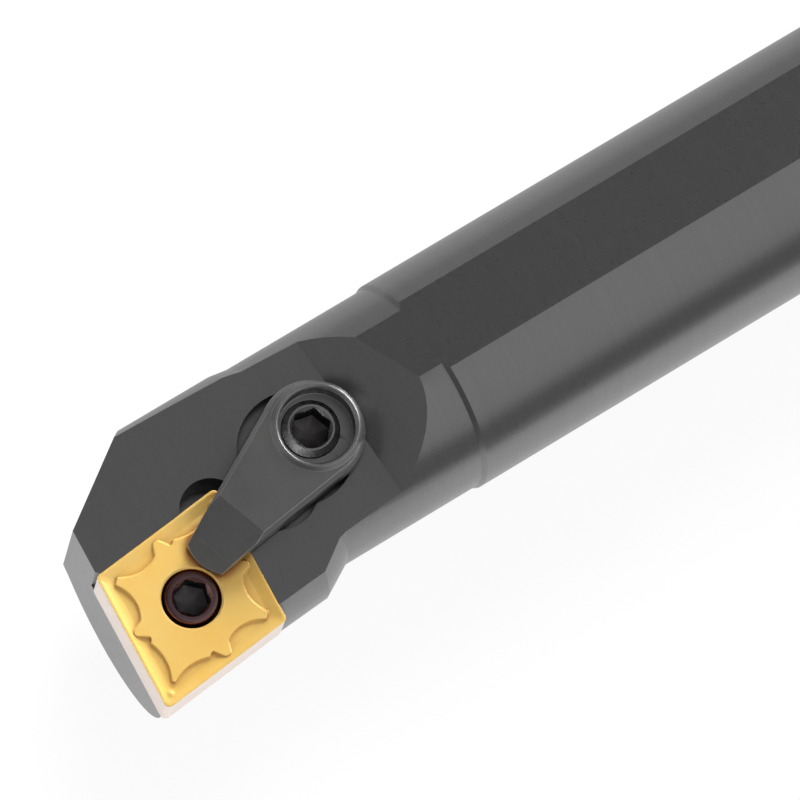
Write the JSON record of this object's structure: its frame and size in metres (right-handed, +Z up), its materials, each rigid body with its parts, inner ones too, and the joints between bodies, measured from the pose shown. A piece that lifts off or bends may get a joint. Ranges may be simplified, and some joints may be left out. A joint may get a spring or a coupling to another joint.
{
  "type": "boring bar with clamped insert",
  "caption": "Round steel boring bar with an angled head, a coated rhombic cutting insert, a lock pin and a top clamp with its screw.",
  "frame": {"origin": "on the bar's axis, at the front edge of the round shank", "axes": "+X along the bar towards its rear end, +Z up, square to the upper flat, -Y to the side of the cutting corner"},
  "size_m": [0.1999, 0.0234, 0.0213],
  "materials": {
    "bar_steel": "satin black-oxide steel",
    "coated_carbide": "satin gold coating on carbide",
    "pin_steel": "satin dark steel",
    "clamp_steel": "satin black-oxide steel",
    "screw_steel": "satin black-oxide steel"
  },
  "bodies": {
    "bar": {"bar_body": "bar_steel", "insert": "coated_carbide"},
    "pin": {"lock_pin": "pin_steel"},
    "clamp_arm": {"clamp": "clamp_steel"},
    "screw": {"clamp_screw": "screw_steel"}
  },
  "joints": [
    {"name": "pin_turn", "type": "hinge", "parent": "bar", "child": "pin", "pos_m": [-0.02855, -0.00688, 0.00233], "axis": [-0.093, -0.2419, 0.9658], "range_deg": [-180, 0]},
    {"name": "screw_turn", "type": "hinge", "parent": "bar", "child": "screw", "pos_m": [-0.0123, -0.00071, 0.00544], "axis": [-0.093, -0.2419, 0.9658], "range_deg": [0, 720]},
    {"name": "clamp_lift", "type": "slide", "parent": "bar", "child": "clamp_arm", "axis": [-0.093, -0.2419, 0.9658], "range_m": [0, 0.0032]}
  ],
  "couplings": [
    {"joint": "screw_turn", "follows": "clamp_lift", "rad_per_m": 3927}
  ]
}
